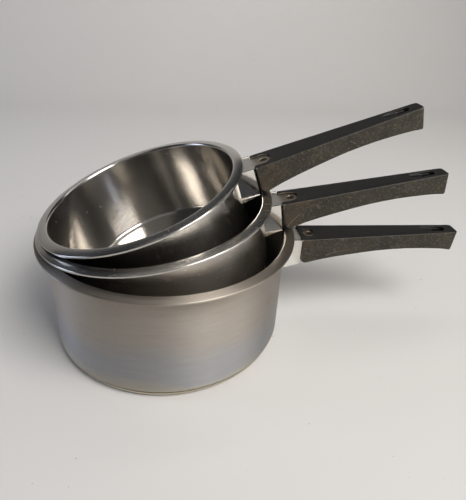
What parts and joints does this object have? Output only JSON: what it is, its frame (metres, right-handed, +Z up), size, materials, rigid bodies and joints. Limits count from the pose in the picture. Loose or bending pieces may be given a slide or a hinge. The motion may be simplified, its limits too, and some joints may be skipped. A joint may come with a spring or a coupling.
{
  "type": "saucepan set",
  "caption": "Nested round steel saucepans with flared pouring rims, leaning one in another, each with a tapering black moulded handle on a folded bracket and a hanging hole in its tail.",
  "frame": {"origin": "centre of the underside of the largest pan, on the surface it stands on", "axes": "+Z up, +X towards the largest pan's handle"},
  "size_m": [0.3779, 0.218, 0.2044],
  "materials": {
    "large_steel": "brushed",
    "large_aluminium": "machined",
    "large_base_steel": "brushed",
    "large_bracket_steel": "satin",
    "large_tang_steel": "satin",
    "large_resin": "worn satin moulding",
    "large_screw_steel": "dull",
    "large_brass": "turned",
    "medium_steel": "brushed",
    "medium_aluminium": "machined",
    "medium_base_steel": "brushed",
    "medium_bracket_steel": "satin",
    "medium_tang_steel": "satin",
    "medium_resin": "worn satin moulding",
    "medium_screw_steel": "dull",
    "medium_brass": "turned",
    "small_steel": "brushed",
    "small_aluminium": "machined",
    "small_base_steel": "brushed",
    "small_bracket_steel": "satin",
    "small_tang_steel": "satin",
    "small_resin": "worn satin moulding",
    "small_screw_steel": "dull",
    "small_brass": "turned"
  },
  "bodies": {
    "large_pan": {"large_body": "large_steel", "large_core": "large_aluminium", "large_cap": "large_base_steel", "large_bracket": "large_bracket_steel", "large_tang": "large_tang_steel", "large_handle": "large_resin", "large_screw": "large_screw_steel", "large_insert": "large_brass"},
    "medium_pan": {"medium_body": "medium_steel", "medium_core": "medium_aluminium", "medium_cap": "medium_base_steel", "medium_bracket": "medium_bracket_steel", "medium_tang": "medium_tang_steel", "medium_handle": "medium_resin", "medium_screw": "medium_screw_steel", "medium_insert": "medium_brass"},
    "small_pan": {"small_body": "small_steel", "small_core": "small_aluminium", "small_cap": "small_base_steel", "small_bracket": "small_bracket_steel", "small_tang": "small_tang_steel", "small_handle": "small_resin", "small_screw": "small_screw_steel", "small_insert": "small_brass"}
  },
  "joints": [
    {"name": "medium_lift", "type": "slide", "parent": "large_pan", "child": "medium_pan", "axis": [0, 0, 1], "range_m": [0, 0.12]},
    {"name": "small_lift", "type": "slide", "parent": "medium_pan", "child": "small_pan", "axis": [-0.153, -0.0013, 0.9882], "range_m": [0, 0.11]}
  ]
}
